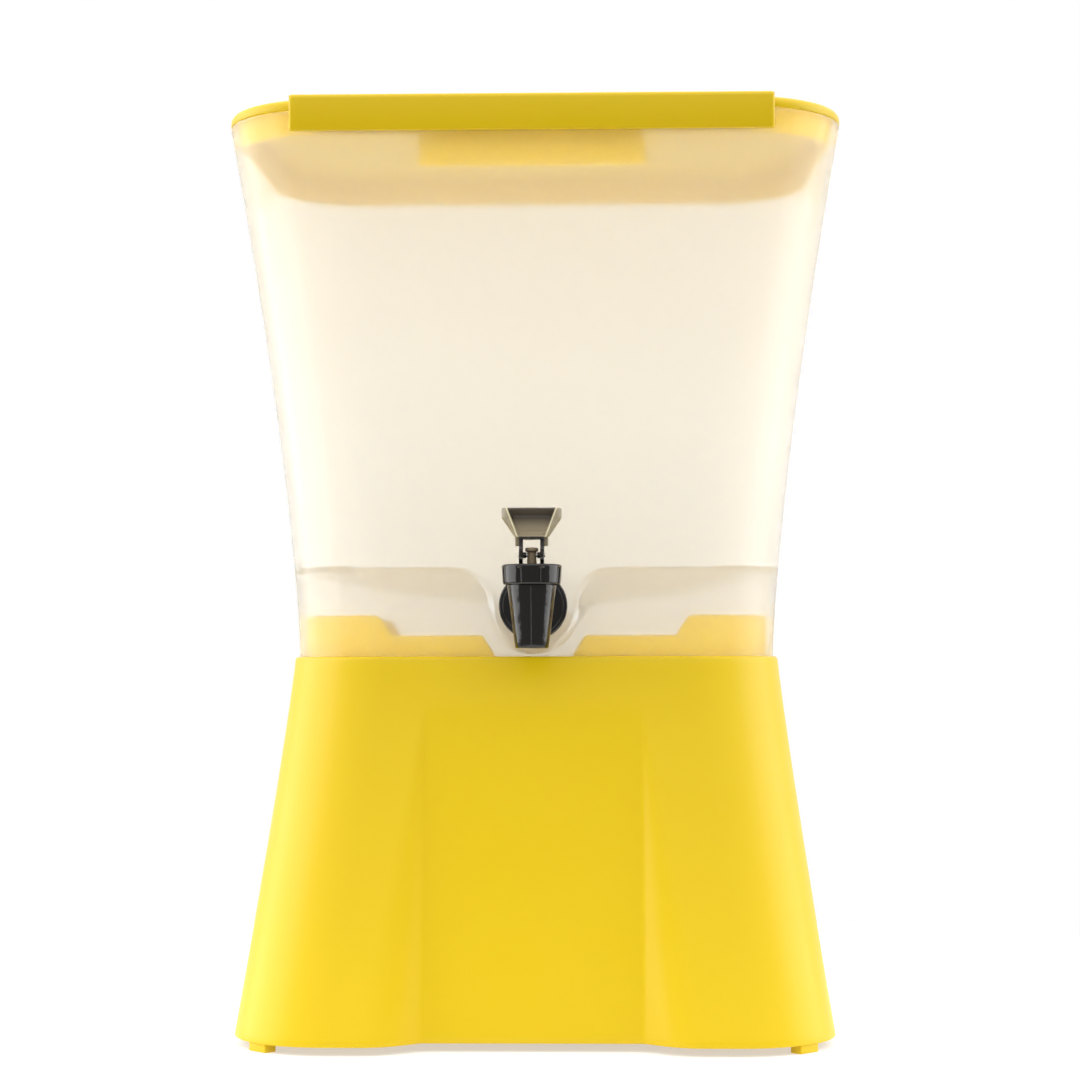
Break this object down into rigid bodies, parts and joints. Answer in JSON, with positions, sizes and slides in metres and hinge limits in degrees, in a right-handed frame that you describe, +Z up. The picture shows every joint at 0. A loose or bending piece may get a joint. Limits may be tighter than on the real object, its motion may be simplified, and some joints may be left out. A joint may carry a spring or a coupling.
{
  "type": "beverage dispenser",
  "caption": "Counter-top beverage dispenser: translucent flared tank with a lift-off lid and a self-closing faucet, on a tall hollow stand.",
  "frame": {"origin": "on the counter, below the centre of the base", "axes": "+Z up, -Y towards the user (the faucet side), +X to the user's right"},
  "size_m": [0.318, 0.2608, 0.4759],
  "materials": {
    "base_plastic": "satin moulded polypropylene, yellow",
    "tank_plastic": "translucent natural polypropylene, satin",
    "lid_plastic": "satin moulded polypropylene, yellow",
    "faucet_plastic": "glossy black moulded plastic",
    "handle_plastic": "black moulded plastic with a semi-gloss grain",
    "seal_rubber": "black silicone rubber",
    "nut_plastic": "black moulded plastic",
    "stem_plastic": "smoky brown moulded plastic",
    "pin_steel": "stainless steel",
    "cup_silicone": "milky silicone rubber",
    "spring_steel": "stainless spring wire"
  },
  "bodies": {
    "base": {"base_stand": "base_plastic"},
    "reservoir": {"tank": "tank_plastic", "faucet_body": "faucet_plastic", "faucet_bonnet": "faucet_plastic", "outer_washer": "seal_rubber", "inner_washer": "seal_rubber", "shank_nut": "nut_plastic"},
    "cover": {"lid": "lid_plastic"},
    "stem": {"valve_stem": "stem_plastic", "handle_pin": "pin_steel", "seat_cup": "cup_silicone", "stem_spring": "spring_steel"},
    "handle": {"faucet_handle": "handle_plastic"}
  },
  "joints": [
    {"name": "tank_lift", "type": "slide", "parent": "base", "child": "reservoir", "axis": [0, 0, 1], "range_m": [0, 0.06]},
    {"name": "lid_lift", "type": "slide", "parent": "reservoir", "child": "cover", "axis": [0, 0, 1], "range_m": [0, 0.06]},
    {"name": "stem_lift", "type": "slide", "parent": "reservoir", "child": "stem", "axis": [0, 0, 1], "range_m": [0, 0.004], "deforming": ["stem_spring"]},
    {"name": "handle_tilt", "type": "hinge", "parent": "stem", "child": "handle", "pos_m": [0, -0.115, 0.2445], "axis": [1, 0, 0], "range_deg": [0, 45], "stiffness_Nm_per_rad": 0.004, "springref_deg": -28.65}
  ],
  "couplings": [
    {"joint": "stem_lift", "follows": "handle_tilt", "m_per_rad": 0.005093}
  ]
}
